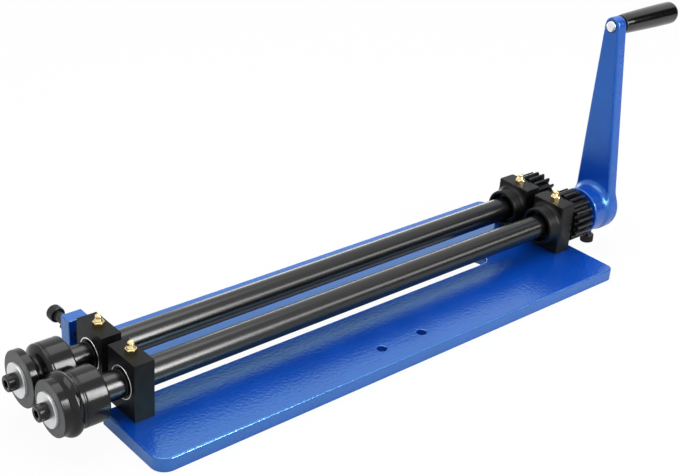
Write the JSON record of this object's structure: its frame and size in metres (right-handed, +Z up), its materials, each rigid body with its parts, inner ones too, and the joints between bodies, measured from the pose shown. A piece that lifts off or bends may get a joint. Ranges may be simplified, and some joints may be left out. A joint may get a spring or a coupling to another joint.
{
  "type": "bead roller",
  "caption": "Bench bead roller: geared shafts over a slotted plate carry a bead die and a groove die, with a hand crank and a screw that opens the dies.",
  "frame": {"origin": "middle of the bounding box on the plate's underside", "axes": "+X along the shafts from the dies to the crank, +Y from the crank's shaft towards the adjusting screw, +Z up from the bench"},
  "size_m": [0.6966, 0.1832, 0.2294],
  "materials": {
    "plate_paint": "glossy blue powder coat with a fine orange peel",
    "crank_paint": "glossy blue powder coat over a casting",
    "front_block_black": "satin black oxide, sharp edges",
    "cast_block_black": "matt black over a rough casting",
    "bush_bronze": "oiled sintered bronze",
    "nipple_brass": "polished brass",
    "shaft_black": "semi-gloss black oxide",
    "die_black": "smooth black oxide, turned",
    "gear_black": "black oxide with greased teeth",
    "washer_steel": "bright satin zinc",
    "small_steel": "plain ground steel",
    "screw_black": "black oxide, knurled heads",
    "axle_steel": "bright turned steel",
    "grip_black": "glossy black moulding"
  },
  "bodies": {
    "frame": {"base_plate": "plate_paint", "drive_front_block": "front_block_black", "drive_rear_block": "cast_block_black", "drive_front_bush": "bush_bronze", "drive_rear_bush": "bush_bronze", "drive_front_nipple": "nipple_brass", "drive_rear_nipple": "nipple_brass", "drive_block_screws": "screw_black", "adjuster_bracket": "plate_paint", "bracket_screws": "screw_black"},
    "slide_block": {"driven_front_block": "front_block_black", "driven_front_bush": "bush_bronze", "driven_front_nipple": "nipple_brass", "slide_screw": "screw_black", "slide_washer": "small_steel", "adjuster_pin": "small_steel"},
    "rear_swivel": {"driven_rear_block": "cast_block_black", "driven_rear_bush": "bush_bronze", "driven_rear_nipple": "nipple_brass", "pivot_screw": "screw_black"},
    "adjusting_screw": {"adjusting_screw": "screw_black"},
    "lock_nut": {"lock_nut": "screw_black"},
    "driven_set": {"driven_shaft": "shaft_black", "driven_gear": "gear_black", "driven_gear_key": "small_steel", "driven_thrust_washer": "small_steel", "driven_gear_ring": "small_steel", "driven_front_ring": "small_steel", "groove_die": "die_black", "groove_die_key": "small_steel", "groove_die_washer": "washer_steel", "groove_die_screw": "screw_black"},
    "drive_set": {"drive_shaft": "shaft_black", "drive_gear": "gear_black", "drive_gear_key": "small_steel", "drive_thrust_washer": "small_steel", "drive_front_ring": "small_steel", "crank_spacer": "gear_black", "bead_die": "die_black", "bead_die_key": "small_steel", "bead_die_washer": "washer_steel", "bead_die_screw": "screw_black", "crank": "crank_paint", "crank_screw": "screw_black", "grip_axle": "axle_steel"},
    "grip": {"grip": "grip_black"}
  },
  "joints": [
    {"name": "crank_spin", "type": "hinge", "parent": "frame", "child": "drive_set", "pos_m": [0, -0.02405, 0.0381], "axis": [1, 0, 0], "continuous": true},
    {"name": "grip_spin", "type": "hinge", "parent": "drive_set", "child": "grip", "pos_m": [0.31325, -0.013, 0.21876], "axis": [1, 0, 0], "continuous": true},
    {"name": "adjust_slide", "type": "slide", "parent": "frame", "child": "slide_block", "axis": [0, 1, 0], "range_m": [0, 0.008]},
    {"name": "rear_swivel", "type": "hinge", "parent": "frame", "child": "rear_swivel", "pos_m": [0.19775, 0.02095, 0], "axis": [0, 0, -1], "range_deg": [0, 0.98]},
    {"name": "adjuster_turn", "type": "hinge", "parent": "slide_block", "child": "adjusting_screw", "pos_m": [-0.27125, 0.05845, 0.0381], "axis": [0, 1, 0], "range_deg": [0, 2304]},
    {"name": "driven_spin", "type": "hinge", "parent": "rear_swivel", "child": "driven_set", "pos_m": [0, 0.02095, 0.0381], "axis": [1, 0, 0], "continuous": true},
    {"name": "lock_nut_turn", "type": "hinge", "parent": "frame", "child": "lock_nut", "pos_m": [-0.27125, 0.06645, 0.0381], "axis": [0, 1, 0], "range_deg": [0, 90]}
  ],
  "couplings": [
    {"joint": "driven_spin", "follows": "crank_spin", "ratio": -1},
    {"joint": "rear_swivel", "follows": "adjust_slide", "rad_per_m": 2.1322},
    {"joint": "adjuster_turn", "follows": "adjust_slide", "rad_per_m": 5026.5}
  ]
}
